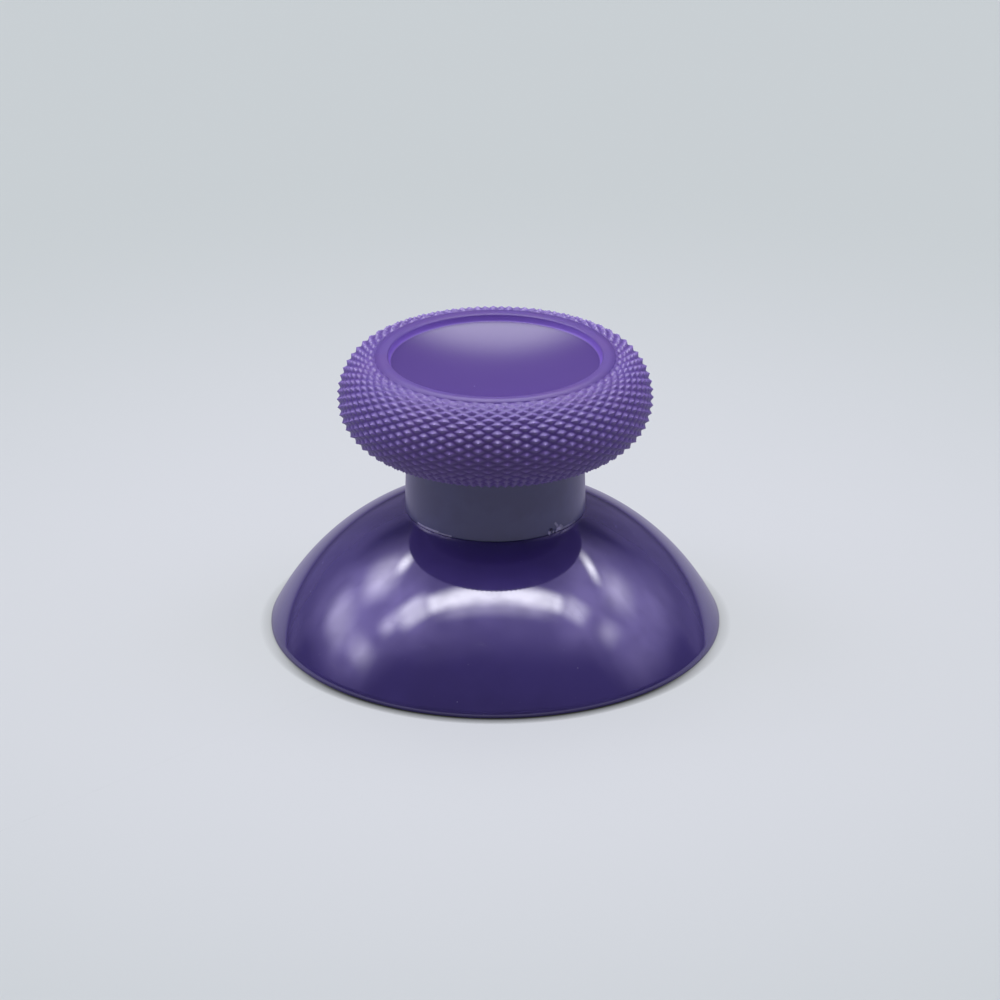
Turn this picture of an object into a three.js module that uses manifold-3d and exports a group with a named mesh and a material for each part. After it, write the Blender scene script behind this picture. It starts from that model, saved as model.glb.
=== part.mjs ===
// Thumb grip of a game controller, in three mouldings: a glossy domed base with its stem, head and
// shaft socket, a slate ring sleeve round the stem, and a soft cap with a diamond-knurled rim round
// a stepped dish. Millimetres, +Z up. The base's rim stands on z = 0, and every turned surface
// shares the Z axis.
import * as THREE from "three";
import { mergeVertices } from "three/addons/utils/BufferGeometryUtils.js";
import Module from "manifold-3d";

const wasm = await Module();
wasm.setup();

// Domed base: a spherical skirt, hollow underneath
const domeRimRadius = 13.04;
const domeCrown = 8.32; // top of the whole sphere above the rim
const domeWall = 1.2;
const rimLand = 0.26; // upright band at the foot of the sphere
const rimRound = 0.12;
const seatMargin = 0.05; // flat seat left outside the sleeve's foot

// Shaft socket: a boss under the dome, with a blind double-D hole
const socketDiameter = 4.1;
const socketFlats = 3.1; // distance across the two flats
const socketDepth = 7;
const socketLeadIn = 0.3;
const bossWall = 1.4;
const bossRecess = 1.2; // the boss ends this far above the rim
const bossEdge = 0.2;

// Gussets between the boss and the skirt
const gussetCount = 4;
const gussetThickness = 0.9;
const gussetReach = 8.8;
const gussetSetback = 1.8; // the gussets stop this far above the boss's end

// Ring sleeve between the dome and the cap
const collarRadius = 5.12;
const collarFlare = 0.09; // how much wider the foot is than the top
const collarHeight = 3.92;
const collarWall = 0.92;
const collarEdge = 0.08;

// Soft cap
const capRadius = 9.08; // over the knurl's tips
const shoulderWidth = 1.89; // from the flat lip out to the widest circle
const shoulderHeight = 2.55;
const bellyHeight = 2.92; // from the cap's floor up to the widest circle
const undersideFullness = 2.2; // 2 makes the underside a plain ellipse, more makes it squarer
const lipWidth = 1.07;
const lipRound = 0.1;
const stepDepth = 0.39;
const stepDraft = 0.08; // how far the step leans in towards its foot
const dishDepth = 1;
const capFloorWall = 1.2;

// Head of the stem, held in the cap's pocket
const headCover = 2.73; // from the head out to the cap's widest circle
const headThickness = 1.3;
const headEdge = 0.3;

// Diamond knurl round the cap
const knurlCount = 52;
const knurlRowPitch = 0.267; // along the profile, from one staggered row to the next
const knurlDepth = 0.17;
const knurlLead = 0.29; // how far the knurl runs onto the flat lip
const knurlPlain = 0.85; // plain band left beside the neck
const knurlFadeRows = 2; // rows over which the valleys come to their full depth

// Radial gap between mouldings that hold each other
const fitGap = 0.05;

// Faceting, and how far a cutter runs past the face that it opens
const sides = knurlCount;
const domeSteps = 7;
const undersideSteps = 24;
const dishSteps = 5;
const roundSteps = 2;
const cutterOverrun = 1;

// Sphere of the dome, through its crown and the top of the rim's land
const domeRise = domeCrown - rimLand;
const domeSphere = (domeRimRadius ** 2 + domeRise ** 2) / (2 * domeRise);
const domeCentreZ = domeCrown - domeSphere;

// Heights and radii where the mouldings meet
const collarFootRadius = collarRadius + collarFlare;
const seatRadius = collarFootRadius + seatMargin;
const seatZ = sphereHeight(domeSphere, seatRadius);
const capFloorZ = seatZ + collarHeight;
const bellyZ = capFloorZ + bellyHeight;
const capTopZ = bellyZ + shoulderHeight;
const stemRadius = collarRadius - collarWall - fitGap;
const sleeveBore = stemRadius + fitGap;
const headRadius = capRadius - headCover;
const headFloorZ = capFloorZ + capFloorWall;
const headTopZ = headFloorZ + headThickness;
const bossRadius = socketDiameter / 2 + bossWall;

// Radii of the cap's flat lip
const lipOuterRadius = capRadius - shoulderWidth;
const lipInnerRadius = lipOuterRadius - lipWidth;

// Height of a sphere about the dome's centre, at a distance from the axis.
function sphereHeight(sphereRadius, fromAxis) {
  return domeCentreZ + Math.sqrt(sphereRadius ** 2 - fromAxis ** 2);
}

function point(radius, height) {
  return new THREE.Vector2(radius, height);
}

// Points along an elliptical arc of a profile, both ends included.
function arc(centre, radii, from, to, steps) {
  return Array.from({ length: steps + 1 }, (_, step) => {
    const angle = from + ((to - from) * step) / steps;
    return point(centre.x + radii.x * Math.cos(angle), centre.y + radii.y * Math.sin(angle));
  });
}

// Points along a sphere about the dome's centre, between two distances from the axis.
function sphereArc(sphereRadius, fromAxis, toAxis) {
  const angleAt = (distance) => Math.acos(distance / sphereRadius);
  const radii = point(sphereRadius, sphereRadius);
  return arc(point(0, domeCentreZ), radii, angleAt(fromAxis), angleAt(toAxis), domeSteps);
}

// A profile turned round the Z axis.
function turned(profile) {
  return new THREE.LatheGeometry(profile, sides).rotateX(Math.PI / 2);
}

// A closed geometry as a solid that can be joined and cut.
function solidOf(geometry) {
  geometry.deleteAttribute("normal");
  geometry.deleteAttribute("uv");
  const merged = mergeVertices(geometry);
  const mesh = new wasm.Mesh({
    numProp: 3,
    vertProperties: merged.attributes.position.array,
    triVerts: new Uint32Array(merged.index.array),
  });
  return new wasm.Manifold(mesh);
}

function geometryOf(solid) {
  const mesh = solid.getMesh();
  const geometry = new THREE.BufferGeometry();
  geometry.setAttribute("position", new THREE.BufferAttribute(mesh.vertProperties, 3));
  geometry.setIndex(new THREE.BufferAttribute(mesh.triVerts, 1));
  geometry.computeVertexNormals();
  return geometry;
}

// Everything on the base that is turned: the boss, the skirt, the seat, the stem and its head.
function baseProfile() {
  const innerSphere = domeSphere - domeWall;
  const innerRimRadius = Math.sqrt(innerSphere ** 2 - domeCentreZ ** 2);
  const rimEdge = point(domeRimRadius - rimRound, rimRound);
  return [
    point(0, bossRecess),
    point(bossRadius - bossEdge, bossRecess),
    point(bossRadius, bossRecess + bossEdge),
    ...sphereArc(innerSphere, bossRadius, innerRimRadius),
    ...arc(rimEdge, point(rimRound, rimRound), -Math.PI / 2, 0, roundSteps),
    ...sphereArc(domeSphere, domeRimRadius, seatRadius),
    point(stemRadius, seatZ),
    point(stemRadius, headFloorZ),
    point(headRadius, headFloorZ),
    point(headRadius, headTopZ - headEdge),
    point(headRadius - headEdge, headTopZ),
    point(0, headTopZ),
  ];
}

// The full solid under a sphere that lies a depth below the dome's outside.
function underDome(depth) {
  const sphere = domeSphere - depth;
  const footRadius = Math.sqrt(sphere ** 2 - domeCentreZ ** 2);
  return solidOf(turned([point(0, 0), ...sphereArc(sphere, footRadius, 0)]));
}

// One upright web from the axis out to the skirt, before it is trimmed to the dome.
function gusset(angle) {
  const foot = bossRecess + gussetSetback;
  const outline = new THREE.Shape([
    point(0, foot),
    point(bossRadius, foot),
    point(gussetReach, sphereHeight(domeSphere - domeWall, gussetReach)),
    point(gussetReach, domeCrown),
    point(0, domeCrown),
  ]);
  const plate = new THREE.ExtrudeGeometry(outline, { depth: gussetThickness, bevelEnabled: false });
  plate.rotateX(Math.PI / 2).translate(0, gussetThickness / 2, 0).rotateZ(angle);
  return solidOf(plate);
}

// The gussets stand on the diagonals of the socket, half buried in the skirt's wall.
function gussets() {
  const step = (2 * Math.PI) / gussetCount;
  let webs = gusset(step / 2);
  for (let index = 1; index < gussetCount; index += 1) {
    webs = webs.add(gusset(step * (index + 0.5)));
  }
  return webs.intersect(underDome(domeWall / 2));
}

// The double-D hole and the cone that leads the shaft into it.
function socketCutter() {
  const radius = socketDiameter / 2;
  const flatEnd = Math.asin(socketFlats / socketDiameter);
  const outline = new THREE.Shape();
  outline.absarc(0, 0, radius, -flatEnd, flatEnd);
  outline.absarc(0, 0, radius, Math.PI - flatEnd, Math.PI + flatEnd);
  outline.closePath();
  const depth = socketDepth + cutterOverrun;
  const hole = new THREE.ExtrudeGeometry(outline, { depth, bevelEnabled: false, curveSegments: 8 });
  hole.translate(0, 0, bossRecess - cutterOverrun);
  const mouth = radius + socketLeadIn;
  const cone = turned([
    point(0, bossRecess - cutterOverrun),
    point(mouth + cutterOverrun, bossRecess - cutterOverrun),
    point(0, bossRecess + mouth),
  ]);
  return solidOf(hole).add(solidOf(cone));
}

function domeBase() {
  return geometryOf(solidOf(turned(baseProfile())).add(gussets()).subtract(socketCutter()));
}

function neckCollar() {
  return turned([
    point(sleeveBore, seatZ),
    point(collarFootRadius - collarEdge, seatZ),
    point(collarFootRadius, seatZ + collarEdge),
    point(collarRadius, capFloorZ),
    point(sleeveBore, capFloorZ),
    point(sleeveBore, seatZ),
  ]);
}

// A ring of points round the axis. On a knurled ring every second point is a valley.
function ring(count, tip, valley = tip, firstTip = 0) {
  return Array.from({ length: count }, (_, index) => {
    const isTip = (index + firstTip) % 2 === 0;
    const at = isTip ? tip : valley;
    const angle = (2 * Math.PI * index) / count;
    return { isTip, xyz: [at.x * Math.cos(angle), at.x * Math.sin(angle), at.y] };
  });
}

// Triangles between two neighbouring rings. Where a knurled tip leads, the diagonal is laid from
// valley to valley, so that four triangles rise to each tip as a pyramid.
function bridge(inner, outer) {
  const triangles = [];
  const nextTurn = (points, index) => (points.length > 1 ? (index + 1) / points.length : Infinity);
  let i = 0;
  let o = 0;
  while (Math.min(nextTurn(inner, i), nextTurn(outer, o)) <= 1) {
    const innerNow = inner[i % inner.length];
    const outerNow = outer[o % outer.length];
    const lead = nextTurn(inner, i) - nextTurn(outer, o);
    if (lead < 0 || (lead === 0 && innerNow.isTip)) {
      i += 1;
      triangles.push([innerNow, outerNow, inner[i % inner.length]]);
    } else {
      o += 1;
      triangles.push([innerNow, outerNow, outer[o % outer.length]]);
    }
  }
  return triangles;
}

// Points from the cap's widest circle down and in to the plain band beside the neck.
function underside() {
  const width = capRadius - collarRadius;
  const power = 2 / undersideFullness;
  const stop = Math.acos((knurlPlain / width) ** (1 / power));
  return Array.from({ length: undersideSteps }, (_, step) => {
    const angle = (stop * (step + 1)) / undersideSteps;
    const radius = collarRadius + width * Math.cos(angle) ** power;
    return point(radius, bellyZ - bellyHeight * Math.sin(angle) ** power);
  });
}

// The cap's outside from the knurl's start on the lip to the neck, the widest circle in between.
function capRoll() {
  const roll = new THREE.Path();
  roll.moveTo(lipOuterRadius - knurlLead, capTopZ);
  roll.lineTo(lipOuterRadius, capTopZ);
  roll.absellipse(lipOuterRadius, bellyZ, shoulderWidth, shoulderHeight, Math.PI / 2, 0, true);
  roll.splineThru(underside());
  return roll;
}

// Rows of diamonds along the roll, each row half a diamond further round than the last.
function knurlRings() {
  const roll = capRoll();
  const rows = Math.round(roll.getLength() / knurlRowPitch);
  return Array.from({ length: rows + 1 }, (_, row) => {
    const tip = roll.getPointAt(row / rows);
    const along = roll.getTangentAt(row / rows);
    const depth = knurlDepth * Math.min(1, row / knurlFadeRows, (rows - row) / knurlFadeRows);
    const valley = point(tip.x + along.y * depth, tip.y - along.x * depth);
    return ring(2 * knurlCount, tip, valley, row + 1);
  });
}

// From the middle of the dish out over the step to the flat lip.
function dishProfile() {
  const footRadius = lipInnerRadius - stepDraft;
  const footZ = capTopZ - stepDepth;
  const dishSphere = (footRadius ** 2 + dishDepth ** 2) / (2 * dishDepth);
  const centre = point(0, footZ - dishDepth + dishSphere);
  const edgeAngle = Math.asin(footRadius / dishSphere) - Math.PI / 2;
  const radii = point(dishSphere, dishSphere);
  const lipEdge = point(lipInnerRadius + lipRound, capTopZ - lipRound);
  return [
    ...arc(centre, radii, -Math.PI / 2, edgeAngle, dishSteps).slice(1),
    ...arc(lipEdge, point(lipRound, lipRound), Math.PI, Math.PI / 2, roundSteps),
  ];
}

// From the plain band beside the neck, in under the cap and up into the pocket.
function pocketProfile() {
  const pocketRadius = headRadius + fitGap;
  return [
    point(collarRadius, capFloorZ),
    point(sleeveBore, capFloorZ),
    point(sleeveBore, headFloorZ),
    point(pocketRadius, headFloorZ),
    point(pocketRadius, headTopZ),
  ];
}

function gripCap() {
  const rings = [
    ring(1, point(0, capTopZ - stepDepth - dishDepth)),
    ...dishProfile().map((at) => ring(sides, at)),
    ...knurlRings(),
    ...pocketProfile().map((at) => ring(sides, at)),
    ring(1, point(0, headTopZ)),
  ];
  const triangles = rings.slice(1).flatMap((outer, index) => bridge(rings[index], outer));
  const positions = triangles.flat().flatMap((corner) => corner.xyz);
  const geometry = new THREE.BufferGeometry();
  geometry.setAttribute("position", new THREE.Float32BufferAttribute(positions, 3));
  geometry.computeVertexNormals();
  return geometry;
}

const glossyPurple = new THREE.MeshStandardMaterial({ color: 0x46357f, roughness: 0.12 });
const slate = new THREE.MeshStandardMaterial({ color: 0x3b3d55, roughness: 0.3 });
const softViolet = new THREE.MeshStandardMaterial({ color: 0x6f58a6, roughness: 0.55 });

function part(name, geometry, material) {
  const mesh = new THREE.Mesh(geometry, material);
  mesh.name = name;
  return mesh;
}

const thumbGrip = new THREE.Group();
thumbGrip.add(
  part("dome_base", domeBase(), glossyPurple),
  part("neck_collar", neckCollar(), slate),
  part("grip_cap", gripCap(), softViolet),
);

export default thumbGrip;
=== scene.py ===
"""Thumb grip of a game controller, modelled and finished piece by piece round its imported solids."""

import functools
import math

import bmesh
import bpy
from bpy.props import FloatProperty, FloatVectorProperty, IntProperty, PointerProperty
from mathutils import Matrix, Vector
from mathutils.kdtree import KDTree


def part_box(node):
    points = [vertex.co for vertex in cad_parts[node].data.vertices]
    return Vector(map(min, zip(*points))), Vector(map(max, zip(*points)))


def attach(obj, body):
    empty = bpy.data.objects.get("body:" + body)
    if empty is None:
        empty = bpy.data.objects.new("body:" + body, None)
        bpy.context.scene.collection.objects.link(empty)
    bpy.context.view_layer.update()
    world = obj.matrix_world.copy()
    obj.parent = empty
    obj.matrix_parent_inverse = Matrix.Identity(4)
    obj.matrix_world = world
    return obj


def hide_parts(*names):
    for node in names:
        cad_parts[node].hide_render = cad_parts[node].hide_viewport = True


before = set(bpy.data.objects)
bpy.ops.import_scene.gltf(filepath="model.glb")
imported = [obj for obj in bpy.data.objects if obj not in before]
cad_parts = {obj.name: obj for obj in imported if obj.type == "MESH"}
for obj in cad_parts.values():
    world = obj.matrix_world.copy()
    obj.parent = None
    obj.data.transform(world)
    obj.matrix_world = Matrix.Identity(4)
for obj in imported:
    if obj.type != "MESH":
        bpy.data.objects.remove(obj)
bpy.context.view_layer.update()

bl_info = {
    "name": "Thumb Grip",
    "version": (1, 0, 0),
    "blender": (4, 5, 0),
    "location": "View3D > Sidebar > Thumb Grip",
    "description": "Models the dome, the sleeve and the knurled cap of a controller's thumb grip",
    "category": "Add Mesh",
}

MM = 0.001
FULL_TURN = 2 * math.pi
MERGE_DISTANCE = 0.001 * MM

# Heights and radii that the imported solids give
DOME_BOX, SLEEVE_BOX, CAP_BOX = (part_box(node) for node in ("dome_base", "neck_collar", "grip_cap"))
SEAT_HEIGHT = SLEEVE_BOX[0].z
CAP_FLOOR = CAP_BOX[0].z
CAP_TOP = CAP_BOX[1].z
HEAD_TOP = DOME_BOX[1].z


def length(name, millimetres, description):
    """A size of the thumb grip, as a property that shows in the sidebar."""
    return FloatProperty(
        name=name, description=description, default=millimetres * MM, unit="LENGTH", precision=5
    )


def rotation(name, degrees, description):
    """An angle, as a property."""
    return FloatProperty(name=name, description=description, default=math.radians(degrees), subtype="ANGLE")


def colour(name, default, description):
    """A colour, as a property."""
    return FloatVectorProperty(
        name=name, description=description, default=default, size=3, min=0, max=1, subtype="COLOR"
    )


def count(name, default, description):
    """A number of faces or repeats, as a property."""
    return IntProperty(name=name, description=description, default=default, min=3)


def share(name, default, description):
    """A number from 0 to 1, as a property."""
    return FloatProperty(name=name, description=description, default=default, min=0, max=1, subtype="FACTOR")


class DomeSizes(bpy.types.PropertyGroup):
    """Sizes and colour of the domed base."""

    rim_radius: length("Rim radius", DOME_BOX[1].x / MM, "Radius of the dome at its foot")
    crown: length("Crown", 8.32, "Height of the whole sphere's top over the rim")
    wall: length("Wall", 1.2, "Thickness of the dome")
    rim_land: length("Rim land", 0.26, "Height of the upright band at the dome's foot")
    rim_round: length("Rim round", 0.12, "Radius of the rim's lower edge")
    seat_margin: length("Seat margin", 0.05, "How far the flat seat reaches past the sleeve")
    stem_radius: length("Stem radius", 4.15, "Radius of the stem inside the sleeve")
    head_radius: length("Head radius", 6.35, "Radius of the head inside the cap")
    head_thickness: length("Head thickness", 1.3, "Thickness of the head inside the cap")
    head_edge: length("Head edge", 0.3, "Width of the chamfer round the head")
    boss_radius: length("Boss radius", 3.45, "Radius of the boss that holds the shaft")
    boss_recess: length("Boss recess", 1.2, "How far the boss ends above the rim")
    boss_edge: length("Boss edge", 0.2, "Width of the chamfer round the boss")
    socket_diameter: length("Socket diameter", 4.1, "Diameter of the hole for the shaft")
    socket_flats: length("Socket flats", 3.1, "Distance across the two flats of the hole")
    socket_depth: length("Socket depth", 7, "Depth of the hole for the shaft")
    socket_lead_in: length("Socket lead-in", 0.3, "How much wider the hole's mouth is")
    gussets: count("Gussets", 4, "Number of webs between the boss and the dome")
    gusset_thickness: length("Gusset thickness", 0.9, "Thickness of each web")
    gusset_reach: length("Gusset reach", 8.8, "Distance from the axis to the outer end of each web")
    gusset_setback: length("Gusset setback", 1.8, "How far the webs stop above the boss's end")
    steps: count("Steps", 288, "Number of faces round the dome")
    tint: colour("Colour", (0.078, 0.057, 0.215), "Colour of the glossy plastic")
    dust: colour("Dust", (0.35, 0.33, 0.5), "Colour of the dust on the gloss")


class SleeveSizes(bpy.types.PropertyGroup):
    """Sizes and colour of the ring sleeve."""

    foot_radius: length("Foot radius", SLEEVE_BOX[1].x / MM, "Radius of the sleeve at its foot")
    flare: length("Flare", 0.09, "How much wider the foot is than the top")
    bore: length("Bore", 4.2, "Radius of the sleeve's bore")
    edge: length("Edge", 0.05, "Radius of the lower edge")
    chip_depth: length("Chip depth", 0.07, "How deep the chip in the lower edge is")
    steps: count("Steps", 512, "Number of faces round the sleeve")
    tint: colour("Colour", (0.08, 0.095, 0.23), "Colour of the slate plastic")
    # The bruise colour is also the colour of the painted glints along the lower edge
    bruise_and_glint: colour("Bruise", (0.85, 0.83, 1.0), "Colour of the plastic where it was chipped")


class CapSizes(bpy.types.PropertyGroup):
    """Sizes and colours of the soft cap."""

    radius: length("Radius", CAP_BOX[1].x / MM, "Radius over the tips of the knurl")
    neck_radius: length("Neck radius", 5.12, "Radius of the opening at the cap's foot")
    bore: length("Bore", 4.2, "Radius of the cap's bore")
    pocket_radius: length("Pocket radius", 6.4, "Radius of the pocket round the head")
    floor_wall: length("Floor wall", 1.2, "Thickness of the cap under the head")
    belly_height: length("Belly height", 2.92, "Height of the widest circle over the cap's foot")
    fullness: FloatProperty(
        name="Fullness", description="2 makes the underside an ellipse, more makes it fuller", default=2.2
    )
    shoulder_width: length("Shoulder width", 1.89, "From the flat lip out to the widest circle")
    lip_width: length("Lip width", 1.07, "Width of the flat lip")
    lip_round: length("Lip round", 0.1, "Radius of the lip's inner edge")
    step_depth: length("Step depth", 0.39, "Height of the step under the lip")
    step_draft: length("Step draft", 0.08, "How far the step leans in")
    step_fillet: length("Step fillet", 0.08, "Radius at the foot of the step")
    dish_depth: length("Dish depth", 1, "Depth of the dish under the foot of the step")
    knurls: count("Knurls", 52, "Number of tips in a row of the knurl")
    row_pitch: length("Row pitch", 0.267, "Distance between two staggered rows, along the profile")
    knurl_depth: length("Knurl depth", 0.17, "Depth of the grooves under the tips")
    start_groove: length("Start groove", 0.06, "Width of the groove between the lip and the knurl")
    knurl_lead: length("Knurl lead", 0.29, "How far the knurl runs onto the lip")
    plain_band: length("Plain band", 0.85, "Width of the smooth band beside the neck")
    fade_rows: FloatProperty(
        name="Fade rows", description="Rows over which the grooves come to their depth", default=2, min=1
    )
    turn: rotation("Turn", 0.9, "How far the knurl is turned round the axis")
    tint: colour("Colour", (0.158, 0.087, 0.345), "Colour of the soft plastic")
    dish_tint: colour("Dish colour", (0.117, 0.063, 0.275), "Colour of the dish")
    # Painted light: the narrow wall round the dish is paler than the plastic, against its shade under the
    # lip
    step_painted_light_tint: colour("Step colour", (0.36, 0.21, 0.76), "Colour of the narrow wall round the dish")
    # Painted highlight: the knurl's tips are paler where the light from above catches them
    tip_highlight_tint: colour("Tip colour", (0.53, 0.41, 0.8), "Colour of the rubbed tips of the knurl")


class StageLook(bpy.types.PropertyGroup):
    """The floor, the lamps and the camera."""

    camera_side: length("Camera side", 0.27, "How far the camera stands to the right of the axis")
    camera_back: length("Camera distance", 288.34, "Distance of the camera in front of the axis")
    camera_height: length("Camera height", 136.08, "Height of the camera over the floor")
    camera_pitch: rotation("Camera pitch", 24.009, "How far the camera looks down")
    lens: FloatProperty(
        name="Lens", description="Focal length on a 36 mm sensor", default=196.94, unit="CAMERA"
    )
    floor_size: length("Floor size", 8000, "Width of the floor")
    # The floor is paler beside the object than far off: a painted pool of light
    floor_near: colour("Floor", (0.708, 0.742, 0.73), "Colour of the floor beside the object")
    floor_far: colour("Far floor", (0.6, 0.652, 0.618), "Colour of the floor at the picture's edges")
    horizon: colour("Background", (0.61, 0.65, 0.68), "Colour of the background past the floor")
    lit_share: share("Lit share", 0.35, "How much of the floor's look comes from the lamps")
    bounce: share("Bounce", 0.45, "How much of its light the floor gives back to the object")
    mirrored_near: colour("Mirrored floor", (0.35, 0.34, 0.43), "The near floor's colour in reflections")
    mirrored_far: colour("Mirrored far floor", (0.12, 0.1, 0.2), "The far floor's colour in reflections")
    contact_shade: share("Contact shade", 0.94, "How dark the floor is right beside the object")
    contact_reach: length("Contact reach", 0.7, "How far the shade beside the object reaches")
    room: share("Room light", 0.04, "Strength of the light from all round")


def deselect_all():
    """Leaves nothing selected in object mode."""
    bpy.ops.object.select_all(action="DESELECT")


def select_only(piece):
    """Selects one piece and makes it the active one."""
    deselect_all()
    bpy.context.view_layer.objects.active = piece
    piece.select_set(True)


def edit(piece):
    """Opens a piece in edit mode with nothing selected."""
    select_only(piece)
    bpy.ops.object.mode_set(mode="EDIT")
    bpy.ops.mesh.select_all(action="DESELECT")


def select_vertices(piece, wanted):
    """Selects the vertices of the piece in edit mode whose places are wanted."""
    mesh = bmesh.from_edit_mesh(piece.data)
    bpy.ops.mesh.select_mode(type="VERT")
    for vertex in mesh.verts:
        vertex.select_set(wanted(vertex.co))
    mesh.select_flush_mode()
    bmesh.update_edit_mesh(piece.data)


def arc(centre, radii, first, last, steps):
    """Points along an elliptical arc of an outline, as (distance from the axis, height)."""
    angles = [first + (last - first) * step / steps for step in range(steps + 1)]
    return [Vector((centre[0] + radii[0] * math.cos(a), centre[1] + radii[1] * math.sin(a))) for a in angles]


def evenly(points, steps):
    """Points at equal distances along a fine outline."""
    travelled = [0.0]
    for here, there in zip(points, points[1:]):
        travelled.append(travelled[-1] + (there - here).length)
    made, index = [], 0
    for step in range(steps + 1):
        goal = travelled[-1] * step / steps
        while index < len(points) - 2 and travelled[index + 1] < goal:
            index += 1
        part = (goal - travelled[index]) / (travelled[index + 1] - travelled[index])
        made.append(points[index].lerp(points[index + 1], part))
    return made


def turned(name, outline, steps):
    """Draws an outline from a single point, step by step, and spins it round the axis."""
    deselect_all()
    places = [Vector((radius, 0, height)) for radius, height in outline]
    bpy.ops.mesh.primitive_plane_add(size=MM, location=places[0])
    piece = bpy.context.object
    piece.name = name
    bpy.ops.object.transform_apply(location=True, rotation=True, scale=True)
    bpy.ops.object.mode_set(mode="EDIT")
    bpy.ops.mesh.select_all(action="SELECT")
    bpy.ops.mesh.merge(type="CENTER")
    for here, there in zip(places, places[1:]):
        bpy.ops.mesh.extrude_vertices_move(TRANSFORM_OT_translate={"value": there - here})
    bpy.ops.mesh.select_all(action="SELECT")
    bpy.ops.mesh.spin(steps=steps, angle=FULL_TURN, center=(0, 0, 0), axis=(0, 0, 1))
    bpy.ops.mesh.select_all(action="SELECT")
    bpy.ops.mesh.remove_doubles(threshold=MERGE_DISTANCE)
    bpy.ops.mesh.normals_make_consistent(inside=False)
    bpy.ops.object.mode_set(mode="OBJECT")
    return piece


def combine(piece, tool, operation):
    """Joins a tool to the piece or cuts it out, and removes the tool."""
    select_only(piece)
    bpy.ops.object.modifier_add(type="BOOLEAN")
    modifier = piece.modifiers[-1]
    modifier.operation, modifier.solver, modifier.object = operation, "EXACT", tool
    bpy.ops.object.modifier_apply(modifier=modifier.name)
    select_only(tool)
    bpy.ops.object.delete()


def smooth(piece, sharp_from):
    """Shades a piece smooth, apart from edges that turn by more than some degrees."""
    select_only(piece)
    bpy.ops.object.shade_smooth_by_angle(angle=math.radians(sharp_from))


def finished(piece, node, material):
    """Gives the piece its finish, and sets it in place of its solid."""
    piece.data.materials.clear()
    piece.data.materials.append(material)
    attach(piece, "root")
    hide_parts(node)


class Value:
    """What a node gives. Sums of varying numbers add their own Math nodes."""

    def __init__(self, nodes, socket):
        self.nodes = nodes
        self.socket = socket

    def maths(self, operation, first, second=0.0):
        """Adds a Math node."""
        return self.nodes.node("ShaderNodeMath", {"operation": operation}, {0: first, 1: second})

    def __add__(self, other):
        return self.maths("ADD", self, other)

    def __radd__(self, other):
        return self.maths("ADD", other, self)

    def __sub__(self, other):
        return self.maths("SUBTRACT", self, other)

    def __rsub__(self, other):
        return self.maths("SUBTRACT", other, self)

    def __mul__(self, other):
        return self.maths("MULTIPLY", self, other)

    def __rmul__(self, other):
        return self.maths("MULTIPLY", other, self)

    def __pow__(self, other):
        return self.maths("POWER", self, other)

    def __abs__(self):
        return self.maths("ABSOLUTE", self)

    def smaller(self, other):
        return self.maths("MINIMUM", self, other)

    def larger(self, other):
        return self.maths("MAXIMUM", self, other)

    def fades(self, full, none):
        """1 where the value is at the first limit, and 0 at the second, with a soft change between."""
        settings = {"interpolation_type": "SMOOTHSTEP", "clamp": True}
        sockets = {"Value": self, "From Min": full, "From Max": none, "To Min": 1.0, "To Max": 0.0}
        return self.nodes.node("ShaderNodeMapRange", settings, sockets)


class Nodes:
    """A node tree, with one method that adds any node to it, and one for the Mix node."""

    def __init__(self, tree):
        self.tree = tree

    def node(self, kind, settings=None, sockets=None, output=0):
        """Adds a node: its settings first, then the values or links of its sockets."""
        made = self.tree.nodes.new(kind)
        for key, value in (settings or {}).items():
            setattr(made, key, value)
        for key, value in (sockets or {}).items():
            self.feed(made.inputs[key], value)
        return Value(self, made.outputs[output])

    def feed(self, socket, value):
        """Links a value to a socket, or sets the socket to a plain number, colour or vector."""
        if isinstance(value, Value):
            self.tree.links.new(value.socket, socket)
        elif socket.type == "RGBA" and len(value) == 3:
            socket.default_value = (*value, 1)
        else:
            socket.default_value = value

    def mixed(self, factor, first, second):
        """A colour between two others: the first where the factor is 0, the second where it is 1."""
        return self.node("ShaderNodeMix", {"data_type": "RGBA"}, {0: factor, 6: first, 7: second}, 2)


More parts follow.
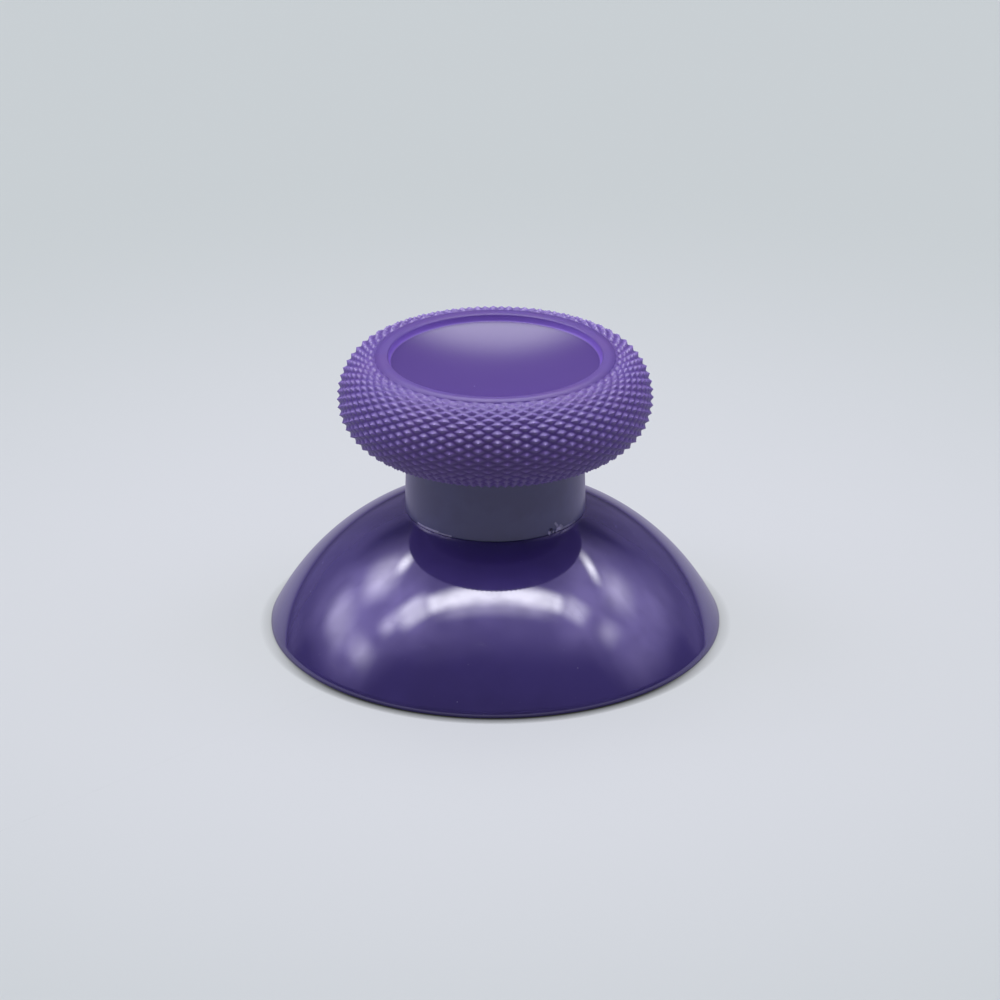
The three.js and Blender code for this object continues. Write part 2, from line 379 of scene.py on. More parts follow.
class Finish(Nodes):
    """A material whose pattern is worked out on the piece's own coordinates, in millimetres."""

    def __init__(self, name):
        self.material = bpy.data.materials.new(name)
        self.material.use_nodes = True
        super().__init__(self.material.node_tree)
        self.shader = self.tree.nodes["Principled BSDF"]
        coordinates = self.node("ShaderNodeTexCoord", output="Object")
        self.place = self.mapped(coordinates, scale=(1 / MM,) * 3)

    def mapped(self, vector, scale=(1, 1, 1), turn=(0, 0, 0)):
        """Coordinates that are turned and stretched."""
        return self.node("ShaderNodeMapping", None, {"Vector": vector, "Rotation": turn, "Scale": scale})

    def vector_maths(self, operation, first, second, output):
        """Adds a Vector Math node."""
        return self.node("ShaderNodeVectorMath", {"operation": operation}, {0: first, 1: second}, output)

    def distance(self, vector, point=(0, 0, 0)):
        """How far the coordinates are from a point."""
        return self.vector_maths("DISTANCE", vector, point, "Value")

    def noise(self, scale, detail=2, vector=None):
        """Soft random values round 0.5, with about as many bumps to a millimetre as the scale says."""
        sockets = {"Vector": vector or self.place, "Scale": scale, "Detail": detail}
        return self.node("ShaderNodeTexNoise", None, sockets)

    def specks(self, scale, size, kept):
        """Small round dots: one in each cell, of which only some are kept."""
        cells = {"Vector": self.place, "Scale": scale}
        distance = self.node("ShaderNodeTexVoronoi", None, cells, "Distance")
        cell_colour = self.node("ShaderNodeTexVoronoi", None, cells, "Color")
        chance = self.node("ShaderNodeSeparateColor", None, {"Color": cell_colour}, "Red")
        return distance.fades(size * 0.5, size) * chance.fades(kept, kept * 1.02)

    def spot(self, centre, radius, wobble):
        """1 inside a ragged spot about a point, and 0 outside."""
        ragged = self.distance(self.place, centre) + (self.noise(scale=4, detail=3) - 0.5) * wobble
        return ragged.fades(radius * 0.6, radius)

    def stroke(self, first, last, width):
        """1 on a thin straight line between two points, and 0 beside it."""
        along = last - first
        offset = self.vector_maths("SUBTRACT", self.place, first, "Vector")
        reach = self.vector_maths("DOT_PRODUCT", offset, along.normalized(), "Value")
        beside = (self.distance(offset) ** 2 - reach ** 2).larger(0.0) ** 0.5
        inside = reach.fades(along.length, along.length + width) * reach.fades(0.0, -width)
        return beside.fades(width * 0.5, width) * inside

    def bump(self, height):
        """A normal that follows a height in millimetres."""
        return self.node("ShaderNodeBump", None, {"Height": height, "Distance": MM, "Strength": 1.0})

    def surface(self, **sockets):
        """Feeds the shader's sockets, with underscores for the spaces in their names."""
        for name, value in sockets.items():
            self.feed(self.shader.inputs[name.replace("_", " ")], value)
        return self.material


def toned(tint, factor):
    """A colour made darker by a factor below 1, or paler by one above it."""
    return tuple(min(1.0, part * factor) for part in tint)


def gloss_finish(sizes):
    """Deep purple gloss with soft smudges, a few hairline scratches and dust."""
    finish = Finish("gloss purple plastic")
    tint = tuple(sizes.tint)
    cloud = finish.noise(scale=0.22, detail=3)
    body = finish.mixed(cloud.fades(0.65, 0.35), toned(tint, 0.93), toned(tint, 1.08))
    large_dust = finish.specks(scale=1.3, size=0.05, kept=0.3)
    small_dust = finish.specks(scale=2.9, size=0.06, kept=0.25)
    dust = large_dust.larger(small_dust * 0.6)
    lines = abs(finish.noise(scale=0.9, detail=1) - 0.5).fades(0.001, 0.004)
    lines = lines * finish.noise(scale=0.6, detail=1).fades(0.62, 0.55)
    slanted = finish.mapped(finish.place, scale=(1, 1, 0.25), turn=(0.3, 0.2, 0.9))
    ticks = abs(finish.noise(scale=2.2, detail=0, vector=slanted) - 0.5).fades(0.002, 0.006)
    scratches = (lines + ticks * finish.noise(scale=0.8, detail=1).fades(0.66, 0.6)).smaller(1.0)
    smudge = finish.noise(scale=0.35, detail=4).fades(0.7, 0.4)
    peel = finish.noise(scale=0.9, detail=2)
    return finish.surface(
        Base_Color=finish.mixed(dust * 0.55, body, tuple(sizes.dust)),
        Roughness=0.055 + smudge * 0.03 + dust * 0.4 + scratches * 0.12,
        Normal=finish.bump(scratches * -0.003 + dust * 0.01 + peel * 0.002),
        Coat_Weight=1.0,
        Coat_Roughness=0.05,
        Coat_IOR=1.85,
        IOR=1.55,
    )


def sleeve_place(angle, height):
    """A point on the sleeve in millimetres: degrees to the right of the front, and height over its foot."""
    radius = SLEEVE_BOX[1].x / MM
    turn = math.radians(angle)
    return Vector((radius * math.sin(turn), -radius * math.cos(turn), SEAT_HEIGHT / MM + height))


def strongest(values):
    """The largest of several values at each point."""
    return functools.reduce(Value.larger, values)


# Pale marks round the chip: degrees to the right of the front, height over the foot in mm,
# radius in mm, how ragged the mark is, and its strength
SCUFFS = (
    (45.0, 0.13, 0.32, 0.16, 1.0),
    (36.8, 0.11, 0.15, 0.12, 0.9),
    (39.7, 0.1, 0.09, 0.12, 0.8),
    (42.4, 0.08, 0.1, 0.12, 0.7),
    (38.4, -0.02, 0.07, 0.12, 0.6),
    (47.6, 0.12, 0.12, 0.12, 0.6),
)

# Pits beside the chip, in the same way, dented in the bump and darkened with painted shade
PITS = ((37.6, 0.27, 0.13, 0.08, 1.0), (44.4, -0.04, 0.12, 0.06, 1.0))

# Pale lines: a rubbed tail above the chip, painted glints along the lower edge on the right and on the left,
# and a hairline under the cap; the first and the last place on the sleeve, the width in mm, and the strength
RUBS_AND_GLINTS = (
    ((44.6, 0.2), (41.2, 0.6), 0.09, 0.55),
    # painted glint along the lower edge on the right
    ((46, 0.12), (54, 0.1), 0.09, 0.45),
    ((54, 0.1), (61, 0.1), 0.07, 0.3),
    # painted glint along the lower edge on the left
    ((-58, 0.08), (-49, 0.07), 0.1, 0.9),
    ((-49, 0.07), (-39, 0.07), 0.12, 1.0),
    ((-39, 0.07), (-29, 0.06), 0.08, 0.8),
    ((44, 3.12), (55, 2.98), 0.03, 0.7),
)


def slate_finish(sizes):
    """Satin slate plastic with faint upright drag lines, a pale scuff on the foot, painted glints along its
    lower edge, pits darkened with painted shade, and one hairline.
    """
    finish = Finish("satin slate plastic")
    tint, bruise_and_glint = tuple(sizes.tint), tuple(sizes.bruise_and_glint)
    cloud = finish.noise(scale=0.5, detail=3)
    body = finish.mixed(cloud.fades(0.65, 0.35), toned(tint, 0.92), toned(tint, 1.1))
    upright = finish.mapped(finish.place, scale=(1, 1, 0.12))
    drag = finish.noise(scale=5, detail=2, vector=upright)
    scuffs, pits = (
        strongest(
            finish.spot(sleeve_place(angle, height), radius, wobble) * strength
            for angle, height, radius, wobble, strength in marks
        )
        for marks in (SCUFFS, PITS)
    )
    rubs_and_glints = strongest(
        finish.stroke(sleeve_place(*first), sleeve_place(*last), width) * strength
        for first, last, width, strength in RUBS_AND_GLINTS
    )
    # Pale marks: the chip's scuffs, a rubbed tail, a hairline, and painted glints along the lower edge
    pale = scuffs.larger(rubs_and_glints)
    body = finish.mixed(pale, body, bruise_and_glint)
    torn = pale * finish.noise(scale=9, detail=2)
    return finish.surface(
        # Painted shade: the pits are darkened
        Base_Color=finish.mixed(pits, body, toned(tint, 0.3)),
        Roughness=0.3 + drag * 0.1 + pale * 0.2,
        Normal=finish.bump(drag * 0.002 + torn * 0.02 - pits * 0.04),
        Specular_IOR_Level=0.8,
        Coat_Weight=1.0,
        Coat_Roughness=0.22,
        Coat_IOR=1.65,
    )


def soft_finish(sizes):
    """Soft violet plastic: satin in the dish, matt on the lip and the knurl, with a painted highlight that
    makes the knurl's tips paler, and painted light that makes the wall round the dish paler.
    """
    finish = Finish("soft violet plastic")
    tint = tuple(sizes.tint)
    cloud = finish.noise(scale=0.3, detail=3)
    bluish = (tint[0] * 0.97, tint[1], tint[2] * 1.03)
    rosy = (tint[0] * 1.03, tint[1], tint[2] * 0.99)
    body = finish.mixed(cloud.fades(0.6, 0.4), bluish, rosy)
    step_top = (sizes.radius - sizes.shoulder_width - sizes.lip_width) / MM
    step_foot = step_top - sizes.step_draft / MM
    knurl_start = step_top + (sizes.lip_width - sizes.knurl_lead) / MM
    from_axis = finish.distance(finish.mapped(finish.place, scale=(1, 1, 0)))
    dish = from_axis.fades(step_foot - 0.09, step_foot + 0.01)
    step = from_axis.fades(step_top - 0.02, step_top + 0.04) - dish
    knurl = from_axis.fades(knurl_start + 0.2, knurl_start + 0.05)
    rubbed = finish.node("ShaderNodeAttribute", {"attribute_name": "knurl_tip"}, None, "Fac")
    # Painted highlight: paler tips of the knurl, in soft patches
    tip_highlight = (rubbed ** 1.25) * (0.6 + 0.4 * finish.noise(scale=1.1, detail=3))
    dust = finish.specks(scale=0.8, size=0.06, kept=0.12) * 0.5
    grain = finish.noise(scale=22, detail=2) * (1 - 0.85 * dish)
    waves = finish.noise(scale=3, detail=2)
    body = finish.mixed(dish, body, tuple(sizes.dish_tint))
    # Painted light: the narrow wall round the dish is made paler, against its shade under the lip
    body = finish.mixed(step, body, tuple(sizes.step_painted_light_tint))
    body = finish.mixed(tip_highlight, body, tuple(sizes.tip_highlight_tint))
    return finish.surface(
        Base_Color=finish.mixed(dust, body, toned(tint, 2.2)),
        Roughness=0.38 - 0.115 * dish - 0.06 * knurl - 0.12 * rubbed + 0.06 * grain + dust * 0.2,
        Specular_IOR_Level=1.0,
        Normal=finish.bump(grain * 0.003 + waves * 0.003),
    )


class ThumbGripStage(bpy.types.Operator):
    """Adds the floor, the lamps, the world and the camera."""

    bl_idname = "thumb_grip.stage"
    bl_label = "Stage"

    TENT_RADIUS = 1000 * MM
    UNEVENNESS = 0.3  # share by which a lamp's brightness varies over it
    PATCHES = 6.0  # how many brighter patches a lamp has to a metre

    # Where the floor changes, in mm: its colour, paler near the axis as a painted pool of light,
    # and its colour in reflections, by the distance from the axis, and the shade beside the object
    # from the front towards the back.
    TONE_CHANGE = (18, 75)
    MIRROR_CHANGE = (6.25, 256)
    SHADE_CHANGE = (-11, -3)
    SHADE_BEHIND = 0.3  # share of that shade that is left behind the object

    WHITE = (0.96, 0.96, 1.0)
    LILAC = (0.82, 0.79, 0.93)
    VIOLET = (0.57, 0.48, 1.0)

    # A tent of soft light. Each panel has its name, the direction it shines from, in degrees to the
    # right of the camera's side and above the floor, its width and height in degrees as seen from the
    # object, its brightness, the shares over which its sides and its upper and lower edges fade, and
    # its colour.
    PANELS = (
        ("overhead_strip", 0, 83.6, 58, 15, 4.9, 0.18, 0.9, WHITE),
        ("strip_skirt", 0, 77.5, 60, 14, 1.6, 0.6, 1.0, LILAC),
        ("ceiling", 0, 79, 96, 64, 0.84, 0.5, 1.0, VIOLET),
        ("back_wall", 180, 60, 52, 42, 3.5, 0.7, 0.8, WHITE),
        ("backdrop", 180, 18, 130, 40, 0.2, 0.3, 0.5, VIOLET),
        ("left_wall", -103, 40, 72, 62, 1.28, 0.8, 0.7, VIOLET),
        ("right_wall", 103, 41, 72, 62, 1.2, 0.8, 0.7, VIOLET),
        ("left_end", -80, 56, 17, 20, 3.5, 0.8, 0.8, WHITE),
        ("right_end", 80, 57, 16, 16, 2.0, 0.8, 0.8, WHITE),
        ("left_bend", -83, 45, 13, 13, 2.2, 1.0, 1.0, LILAC),
        ("left_fold", -84, 30, 24, 15, 1.7, 1.0, 1.0, LILAC),
        ("right_fold", 82, 41, 18, 14, 1.3, 1.0, 1.0, LILAC),
        ("left_seam", -126, 51, 15, 8, 4.0, 1.0, 1.0, WHITE),
        ("left_sail", -118, 44, 28, 22, 3.0, 1.0, 1.0, LILAC),
        ("right_seam", 123, 50, 21, 6, 5.2, 1.0, 1.0, WHITE),
        ("left_patch", -108, 27, 34, 20, 1.6, 1.0, 1.0, LILAC),
        ("right_patch", 111, 41, 28, 20, 1.65, 1.0, 1.0, LILAC),
    )

    def execute(self, context):
        look = context.scene.thumb_grip_stage
        self.add_floor(look)
        for panel in self.PANELS:
            self.add_panel(*panel)
        self.add_world(look)
        self.add_camera(look)
        return {"FINISHED"}

    def add_floor(self, look):
        """A pale floor, paler near the object as a painted pool of light, with painted shade right beside
        the object, that keeps the object's shadow, and is dimmer in its gloss.
        """
        deselect_all()
        bpy.ops.mesh.primitive_plane_add(size=look.floor_size, location=(0, 0, 0))
        floor = bpy.context.object
        floor.name = "floor"
        finish = Finish("pale floor")
        away = finish.distance(finish.place)
        # Painted pool of light: the floor is paler near the axis
        painted_pool = away.fades(*self.TONE_CHANGE)
        tone = finish.mixed(painted_pool, tuple(look.floor_far), tuple(look.floor_near))
        straight, glossy, through = (
            finish.node("ShaderNodeLightPath", output=name)
            for name in ("Is Camera Ray", "Is Glossy Ray", "Is Transmission Ray")
        )
        seen = (straight + glossy + through).smaller(1.0)
        mirrored = (away ** 0.5).fades(*(distance ** 0.5 for distance in self.MIRROR_CHANGE))
        in_mirrors = finish.mixed(mirrored, tuple(look.mirrored_far), tuple(look.mirrored_near))
        reach = {"Distance": look.contact_reach}
        hidden = 1 - finish.node("ShaderNodeAmbientOcclusion", None, reach, "AO")
        backwards = finish.node("ShaderNodeSeparateXYZ", None, {0: finish.place}, "Y")
        front = self.SHADE_BEHIND + (1 - self.SHADE_BEHIND) * backwards.fades(*self.SHADE_CHANGE)
        contact = look.contact_shade * (hidden * 2).smaller(1.0) ** 0.5 * front
        shown = finish.mixed(contact, finish.mixed(glossy, tone, in_mirrors), (0, 0, 0))
        given_back = finish.mixed(look.bounce, (0, 0, 0), tone)
        shade = finish.mixed(seen, given_back, shown)
        lit = finish.node("ShaderNodeBsdfDiffuse", None, {"Color": shade}, "BSDF")
        plain = finish.node("ShaderNodeEmission", None, {"Color": shown, "Strength": 1.0}, "Emission")
        factor = seen * (1 - look.lit_share)
        mix = finish.node("ShaderNodeMixShader", None, {0: factor, 1: lit, 2: plain}, "Shader")
        finish.feed(finish.tree.nodes["Material Output"].inputs["Surface"], mix)
        finish.tree.nodes.remove(finish.shader)
        floor.data.materials.append(finish.material)

    def add_panel(self, name, azimuth, elevation, width, height, radiance, end_fade, edge_fade, tone):
        """A rectangular lamp that faces the object and fades towards its sides."""
        turn, rise = math.radians(azimuth), math.radians(elevation)
        way = Vector((math.sin(turn) * math.cos(rise), -math.cos(turn) * math.cos(rise), math.sin(rise)))
        deselect_all()
        bpy.ops.object.light_add(type="AREA", location=way * self.TENT_RADIUS)
        lamp = bpy.context.object
        lamp.name = name
        lamp.rotation_euler = (-way).to_track_quat("-Z", "Y").to_euler()
        lamp.data.shape = "RECTANGLE"
        lamp.data.size = 2 * self.TENT_RADIUS * math.tan(math.radians(width / 2))
        lamp.data.size_y = 2 * self.TENT_RADIUS * math.tan(math.radians(height / 2))
        area = lamp.data.size * lamp.data.size_y
        lamp.data.energy = radiance * math.pi * area
        lamp.data.color = tone
        lamp.visible_camera = False
        lamp.data.use_nodes = True
        nodes = Nodes(lamp.data.node_tree)
        across = nodes.node("ShaderNodeNewGeometry", output="Parametric")
        split = [nodes.node("ShaderNodeSeparateXYZ", None, {0: across}, axis) for axis in "XY"]
        ends, edges = (
            abs(part - 0.5).fades(0.5 - fade / 2, 0.5) for part, fade in zip(split, (end_fade, edge_fade))
        )
        place = nodes.node("ShaderNodeNewGeometry", output="Position")
        sockets = {"Vector": place, "Scale": self.PATCHES, "Detail": 3.0}
        uneven = nodes.node("ShaderNodeTexNoise", None, sockets)
        brightness = 1 + self.UNEVENNESS * (uneven.fades(0.66, 0.34) - 0.5)
        nodes.feed(nodes.tree.nodes["Emission"].inputs["Strength"], ends * edges * brightness)

    def add_world(self, look):
        """A plain pale background, and a dimmer room that lights the object."""
        world = bpy.data.worlds.new("pale room")
        bpy.context.scene.world = world
        world.use_nodes = True
        nodes = Nodes(world.node_tree)
        straight = nodes.node("ShaderNodeLightPath", output="Is Camera Ray")
        light = (look.room, look.room, look.room * 1.05)
        tone = nodes.mixed(straight, light, tuple(look.horizon))
        nodes.feed(nodes.tree.nodes["Background"].inputs["Color"], tone)

    def add_camera(self, look):
        """The camera, level from side to side, at the photograph's height and distance."""
        deselect_all()
        place = (look.camera_side, -look.camera_back, look.camera_height)
        bpy.ops.object.camera_add(location=place, rotation=(math.pi / 2 - look.camera_pitch, 0, 0))
        camera = bpy.context.object
        camera.name = "camera"
        camera.data.sensor_width = 36
        camera.data.lens = look.lens
        camera.data.clip_start, camera.data.clip_end = 10 * MM, 20000 * MM
        bpy.context.scene.camera = camera
        bpy.context.scene.view_settings.view_transform = "Standard"


class ThumbGripDome(bpy.types.Operator):
    """Models the glossy domed base with its stem, its head and its shaft socket."""

    bl_idname = "thumb_grip.dome"
    bl_label = "Dome"

    OVERLAP = 0.2 * MM  # how far a web reaches into the boss
    SAME_HEIGHT = 0.01 * MM  # points closer than this are at one height
    TOOL_START = 1 * MM  # how far below the boss's end the cutting tools start
    TOOL_FACES = 96  # number of faces round the cutting tools

    def execute(self, context):
        sizes = context.scene.thumb_grip_dome
        rise = sizes.crown - sizes.rim_land
        self.sphere = (sizes.rim_radius ** 2 + rise ** 2) / (2 * rise)
        self.centre = sizes.crown - self.sphere
        dome = turned("dome", self.outline(sizes), sizes.steps)
        combine(dome, self.gussets(sizes), "UNION")
        combine(dome, self.socket(sizes), "DIFFERENCE")
        combine(dome, self.lead_in(sizes), "DIFFERENCE")
        smooth(dome, sharp_from=30)
        finished(dome, "dome_base", gloss_finish(sizes))
        return {"FINISHED"}

    def height_on(self, sphere, radius):
        """Height of a sphere about the dome's centre, at a distance from the axis."""
        return self.centre + math.sqrt(sphere ** 2 - radius ** 2)

    def sphere_arc(self, sphere, first, last, steps):
        """Points along a sphere about the dome's centre, between two distances from the axis."""
        angles = [math.acos(radius / sphere) for radius in (first, last)]
        return arc((0, self.centre), (sphere, sphere), *angles, steps)

    def outline(self, sizes):
        """From the end of the boss along the inside to the rim, and over the outside to the head's top."""
        inner = self.sphere - sizes.wall
        inner_rim = math.sqrt(inner ** 2 - self.centre ** 2)
        rim_edge = (sizes.rim_radius - sizes.rim_round, sizes.rim_round)
        seat_radius = SLEEVE_BOX[1].x + sizes.seat_margin
        head_floor = HEAD_TOP - sizes.head_thickness
        return [
            (0, sizes.boss_recess),
            (sizes.boss_radius - sizes.boss_edge, sizes.boss_recess),
            (sizes.boss_radius, sizes.boss_recess + sizes.boss_edge),
            *self.sphere_arc(inner, sizes.boss_radius, inner_rim, steps=24),
            *arc(rim_edge, (sizes.rim_round,) * 2, -math.pi / 2, 0, steps=5),
            *self.sphere_arc(self.sphere, sizes.rim_radius, seat_radius, steps=40),
            (sizes.stem_radius, SEAT_HEIGHT),
            (sizes.stem_radius, head_floor),
            (sizes.head_radius, head_floor),
            (sizes.head_radius, HEAD_TOP - sizes.head_edge),
            (sizes.head_radius - sizes.head_edge, HEAD_TOP),
            (0, HEAD_TOP),
        ]

    def gussets(self, sizes):
        """The webs between the boss and the dome, on the diagonals of the socket, as one tool."""
        angles = [FULL_TURN * (index + 0.5) / sizes.gussets for index in range(sizes.gussets)]
        webs = [self.gusset(sizes, angle) for angle in angles]
        deselect_all()
        for web in webs:
            web.select_set(True)
        bpy.context.view_layer.objects.active = webs[0]
        bpy.ops.object.join()
        return webs[0]

    def gusset(self, sizes, angle):
        """A block from inside the boss to inside the wall, with both its outer edges moved up or down."""
        foot = sizes.boss_recess + sizes.gusset_setback
        root = sizes.boss_radius - self.OVERLAP
        middle = self.sphere - sizes.wall / 2
        top = self.height_on(middle, root)
        width = sizes.gusset_reach - root
        deselect_all()
        bpy.ops.mesh.primitive_cube_add(
            size=1,
            location=(root + width / 2, 0, (foot + top) / 2),
            scale=(width, sizes.gusset_thickness, top - foot),
        )
        web = bpy.context.object
        bpy.ops.object.transform_apply(location=True, rotation=True, scale=True)
        outer = root + width / 2
        for is_upper, sphere in ((True, middle), (False, self.sphere - sizes.wall)):
            edit(web)
            old = top if is_upper else foot
            select_vertices(web, lambda co: co.x > outer and abs(co.z - old) < self.SAME_HEIGHT)
            move = self.height_on(sphere, sizes.gusset_reach) - old
            bpy.ops.transform.translate(value=(0, 0, move))
            bpy.ops.object.mode_set(mode="OBJECT")
        web.rotation_euler.z = angle
        bpy.ops.object.transform_apply(location=True, rotation=True, scale=True)
        return web

    def socket(self, sizes):
        """A cylinder with two sides cut flat, which cuts the double-D hole."""
        deselect_all()
        depth = sizes.socket_depth + self.TOOL_START
        bpy.ops.mesh.primitive_cylinder_add(
            vertices=self.TOOL_FACES,
            radius=sizes.socket_diameter / 2,
            depth=depth,
            location=(0, 0, sizes.boss_recess - self.TOOL_START + depth / 2),
        )
        tool = bpy.context.object
        bpy.ops.object.transform_apply(location=True, rotation=True, scale=True)
        bpy.ops.object.mode_set(mode="EDIT")
        for side in (-1, 1):
            bpy.ops.mesh.select_all(action="SELECT")
            bpy.ops.mesh.bisect(
                plane_co=(0, side * sizes.socket_flats / 2, 0),
                plane_no=(0, side, 0),
                use_fill=True,
                clear_outer=True,
            )
        bpy.ops.object.mode_set(mode="OBJECT")
        return tool

    def lead_in(self, sizes):
        """A cone that widens the mouth of the hole."""
        deselect_all()
        mouth = sizes.socket_diameter / 2 + sizes.socket_lead_in
        depth = mouth + self.TOOL_START
        bpy.ops.mesh.primitive_cone_add(
            vertices=self.TOOL_FACES,
            radius1=depth,
            radius2=0,
            depth=depth,
            location=(0, 0, sizes.boss_recess - self.TOOL_START + depth / 2),
        )
        tool = bpy.context.object
        bpy.ops.object.transform_apply(location=True, rotation=True, scale=True)
        return tool


class ThumbGripSleeve(bpy.types.Operator):
    """Models the slate ring sleeve, with the chips in its lower edge."""

    bl_idname = "thumb_grip.sleeve"
    bl_label = "Sleeve"

    # Dents in the foot: degrees to the right of the front, height over it in mm, radius in mm, and
    # share of the full depth
    CHIPS = ((45.0, 0.1, 0.24, 0.8), (37.3, 0.16, 0.14, 0.7), (41.0, 0.08, 0.12, 0.5))

    # Heights of the rings of points on the side, closer together near the chipped foot
    RINGS = (0.02, 0.04, 0.06, 0.08, 0.1, 0.13, 0.16, 0.2, 0.4, 0.7, 1)

    def execute(self, context):
        sizes = context.scene.thumb_grip_sleeve
        sleeve = turned("sleeve", self.outline(sizes), sizes.steps)
        for chip in self.CHIPS:
            self.dent(sleeve, sizes, *chip)
        smooth(sleeve, sharp_from=40)
        finished(sleeve, "neck_collar", slate_finish(sizes))
        return {"FINISHED"}

    def outline(self, sizes):
        """From the bore out under the foot, round its edge, up the side and back."""
        edge = (sizes.foot_radius - sizes.edge, SEAT_HEIGHT + sizes.edge)
        foot = Vector((sizes.foot_radius, edge[1]))
        top = Vector((sizes.foot_radius - sizes.flare, CAP_FLOOR))
        side = [foot.lerp(top, part) for part in self.RINGS]
        return [
            (sizes.bore, SEAT_HEIGHT),
            *arc(edge, (sizes.edge,) * 2, -math.pi / 2, 0, steps=8),
            *side,
            (sizes.bore, CAP_FLOOR),
            (sizes.bore, SEAT_HEIGHT),
        ]

    def dent(self, sleeve, sizes, angle, height, radius, depth):
        """Pushes the side in round one point."""
        centre = sleeve_place(angle, height) * MM
        edit(sleeve)
        select_vertices(sleeve, lambda co: (co - centre).length < radius * MM)
        inward = Vector((-centre.x, -centre.y, 0)).normalized() * depth * sizes.chip_depth
        bpy.ops.transform.translate(value=inward)
        bpy.ops.object.mode_set(mode="OBJECT")


class ThumbGripCap(bpy.types.Operator):
    """Models the soft cap: its knurled roll, its lip and its stepped dish."""

    bl_idname = "thumb_grip.cap"
    bl_label = "Cap"

    CUTS = 3  # in each side of the knurl's first triangles
    START_SINK = 0.75  # share of the grooves' depth to which the knurl's first ring is sunk
    TIP_SQUARENESS = 3.0  # 2 makes the tips round cones, more makes them four-sided
    TIP_SHARPNESS = 1.15  # 1 makes their sides straight, more makes them hollow
    ON_ROLL = 0.02 * MM  # a point nearer than this to the roll's outline lies on it
    CURVE_STEPS = 200  # in each half of the roll's outline, before it is divided evenly

    def execute(self, context):
        sizes = context.scene.thumb_grip_cap
        fine = self.roll(sizes)
        path = sum((there - here).length for here, there in zip(fine, fine[1:]))
        rows = round(path / sizes.row_pitch)
        cap = turned("cap", self.outline(sizes, evenly(fine, rows)), 2 * sizes.knurls)
        self.find_rows(fine, rows)
        self.groove_lines(cap, sizes)
        self.press_grooves(cap, sizes, rows)
        cap.rotation_euler.z = sizes.turn
        bpy.ops.object.transform_apply(location=True, rotation=True, scale=True)
        smooth(cap, sharp_from=66)
        finished(cap, "grip_cap", soft_finish(sizes))
        return {"FINISHED"}

    def roll(self, sizes):
        """The knurled part of the outline, from its start on the lip to the smooth band at the neck."""
        lip = sizes.radius - sizes.shoulder_width
        belly = CAP_FLOOR + sizes.belly_height
        under = sizes.radius - sizes.neck_radius
        power = 2 / sizes.fullness
        stop = math.acos((sizes.plain_band / under) ** (1 / power))
        upper = arc((lip, belly), (sizes.shoulder_width, CAP_TOP - belly), math.pi / 2, 0, self.CURVE_STEPS)
        lower = [
            Vector((
                sizes.neck_radius + under * math.cos(angle) ** power,
                belly - sizes.belly_height * math.sin(angle) ** power,
            ))
            for angle in (stop * (step + 1) / self.CURVE_STEPS for step in range(self.CURVE_STEPS))
        ]
        return [Vector((lip - sizes.knurl_lead, CAP_TOP)), *upper, *lower]

    def outline(self, sizes, roll):
        """From the middle of the dish over the step, the lip and the roll, and back inside."""
        lip_inner = sizes.radius - sizes.shoulder_width - sizes.lip_width
        foot = Vector((lip_inner - sizes.step_draft, CAP_TOP - sizes.step_depth))
        dish = (foot.x ** 2 + sizes.dish_depth ** 2) / (2 * sizes.dish_depth)
        centre = (0, foot.y - sizes.dish_depth + dish)
        edge_angle = math.asin((foot.x - sizes.step_fillet) / dish) - math.pi / 2
        bowl = arc(centre, (dish, dish), -math.pi / 2, edge_angle, steps=16)
        step_top = Vector((lip_inner, CAP_TOP - sizes.lip_round))
        leaning = (step_top - foot).normalized()
        fillet = [
            bowl[-1].lerp(foot, 0.5) + Vector((0, sizes.step_fillet * 0.08)),
            foot + leaning * sizes.step_fillet * 0.4 - Vector((sizes.step_fillet * 0.12, 0)),
            foot + leaning * sizes.step_fillet,
        ]
        lip_edge = (lip_inner + sizes.lip_round, CAP_TOP - sizes.lip_round)
        head_floor = CAP_FLOOR + sizes.floor_wall
        return [
            *bowl,
            *fillet,
            *arc(lip_edge, (sizes.lip_round,) * 2, math.pi, math.pi / 2, steps=6),
            Vector((lip_inner + sizes.lip_width * 0.3, CAP_TOP)),
            Vector((roll[0].x - sizes.start_groove, CAP_TOP)),
            *roll,
            (sizes.neck_radius, CAP_FLOOR),
            (sizes.bore, CAP_FLOOR),
            (sizes.bore, head_floor),
            (sizes.pocket_radius, head_floor),
            (sizes.pocket_radius, HEAD_TOP),
            (0, HEAD_TOP),
        ]

    def find_rows(self, fine, rows):
        """Keeps a look-up from a place on the roll to its row, counted from the lip."""
        self.row_tree = KDTree(len(fine) * 4)
        self.row_of = []
        path = evenly(fine, len(fine) * 4 - 1)
        for index, (radius, height) in enumerate(path):
            self.row_tree.insert((radius, 0, height), index)
            self.row_of.append(rows * index / (len(path) - 1))
        self.row_tree.balance()

    def lattice(self, co, sizes):
        """Column and row of a place on the roll, counted in half diamonds, or None off the roll."""
        radius = math.hypot(co.x, co.y)
        _, index, away = self.row_tree.find((radius, 0, co.z))
        if away > self.ON_ROLL:
            return None
        column = math.atan2(co.y, co.x) / FULL_TURN * 2 * sizes.knurls
        return column, self.row_of[index]

    def groove_lines(self, cap, sizes):
        """Joins the valleys across each face of the roll, and divides the roll finely."""
        edit(cap)

        def is_valley(co):
            at = self.lattice(co, sizes)
            return at is not None and (round(at[0]) + round(at[1])) % 2 == 0

        select_vertices(cap, is_valley)
        bpy.ops.mesh.vert_connect()
        bpy.ops.mesh.select_mode(type="FACE")
        mesh = bmesh.from_edit_mesh(cap.data)
        for face in mesh.faces:
            on_roll = len(face.verts) == 3 and all(self.lattice(v.co, sizes) for v in face.verts)
            face.select_set(on_roll)
        bmesh.update_edit_mesh(cap.data)
        bpy.ops.mesh.subdivide(number_cuts=self.CUTS)
        bpy.ops.object.mode_set(mode="OBJECT")

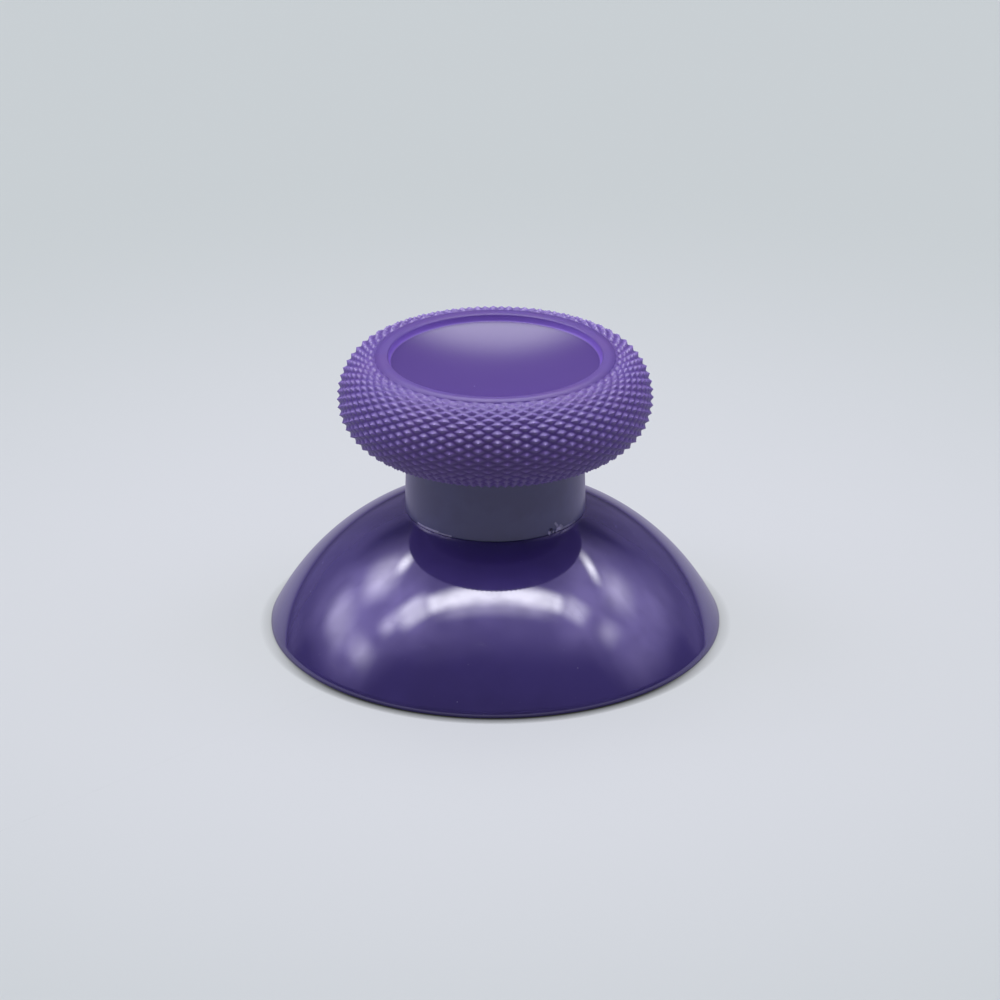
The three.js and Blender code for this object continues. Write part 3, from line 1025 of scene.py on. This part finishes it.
    def press_grooves(self, cap, sizes, rows):
        """Sinks the grooves with a weighted Displace modifier, and marks how near each place is to a tip."""
        group = cap.vertex_groups.new(name="groove")
        tips = []
        for vertex in cap.data.vertices:
            at = self.lattice(vertex.co, sizes)
            tip, sunk = 0.0, 0.0
            if at is not None:
                column, row = at
                fade = max(0.0, min(1.0, (row + 1) / sizes.fade_rows, (rows - row) / sizes.fade_rows))
                share_of_tip = self.tip_share(column, row)
                tip = share_of_tip * fade
                sunk = max((1 - share_of_tip) * fade, self.START_SINK - 2 * row)
            group.add([vertex.index], max(0.0, sunk), "REPLACE")
            tips.append(tip)
        cap.data.attributes.new("knurl_tip", "FLOAT", "POINT").data.foreach_set("value", tips)
        select_only(cap)
        bpy.ops.object.modifier_add(type="DISPLACE")
        modifier = cap.modifiers[-1]
        modifier.direction, modifier.mid_level = "NORMAL", 0
        modifier.strength, modifier.vertex_group = -sizes.knurl_depth, group.name
        bpy.ops.object.modifier_apply(modifier=modifier.name)

    def tip_share(self, column, row):
        """1 on a tip of the knurl and 0 in its grooves, which cross on the diagonals between the tips."""
        away = [abs(way % 2 - 1) for way in (column + row, column - row)]
        from_tip = sum(part ** self.TIP_SQUARENESS for part in away) ** (1 / self.TIP_SQUARENESS)
        return max(0.0, 1 - from_tip) ** self.TIP_SHARPNESS


class ThumbGripPanel(bpy.types.Panel):
    """Buttons for each piece of the thumb grip."""

    bl_idname = "VIEW3D_PT_thumb_grip"
    bl_label = "Thumb Grip"
    bl_space_type = "VIEW_3D"
    bl_region_type = "UI"
    bl_category = "Thumb Grip"

    def draw(self, context):
        for operator in OPERATORS:
            self.layout.operator(operator.bl_idname)
        for name in SETTINGS:
            column = self.layout.column(heading=name)
            settings = getattr(context.scene, name)
            for key in settings.__annotations__:
                column.prop(settings, key)


SETTINGS = {
    "thumb_grip_stage": StageLook,
    "thumb_grip_dome": DomeSizes,
    "thumb_grip_sleeve": SleeveSizes,
    "thumb_grip_cap": CapSizes,
}
OPERATORS = (ThumbGripStage, ThumbGripDome, ThumbGripSleeve, ThumbGripCap)


def register():
    """Adds the classes, and the settings to the scene."""
    for made in (*SETTINGS.values(), *OPERATORS, ThumbGripPanel):
        bpy.utils.register_class(made)
    for name, settings in SETTINGS.items():
        setattr(bpy.types.Scene, name, PointerProperty(type=settings))


def unregister():
    """Takes away what register adds."""
    for name in SETTINGS:
        delattr(bpy.types.Scene, name)
    for made in (ThumbGripPanel, *OPERATORS, *SETTINGS.values()):
        bpy.utils.unregister_class(made)


def main():
    """Builds the stage and the pieces."""
    register()
    bpy.ops.thumb_grip.stage()
    bpy.ops.thumb_grip.dome()
    bpy.ops.thumb_grip.sleeve()
    bpy.ops.thumb_grip.cap()


if __name__ == "__main__":
    main()
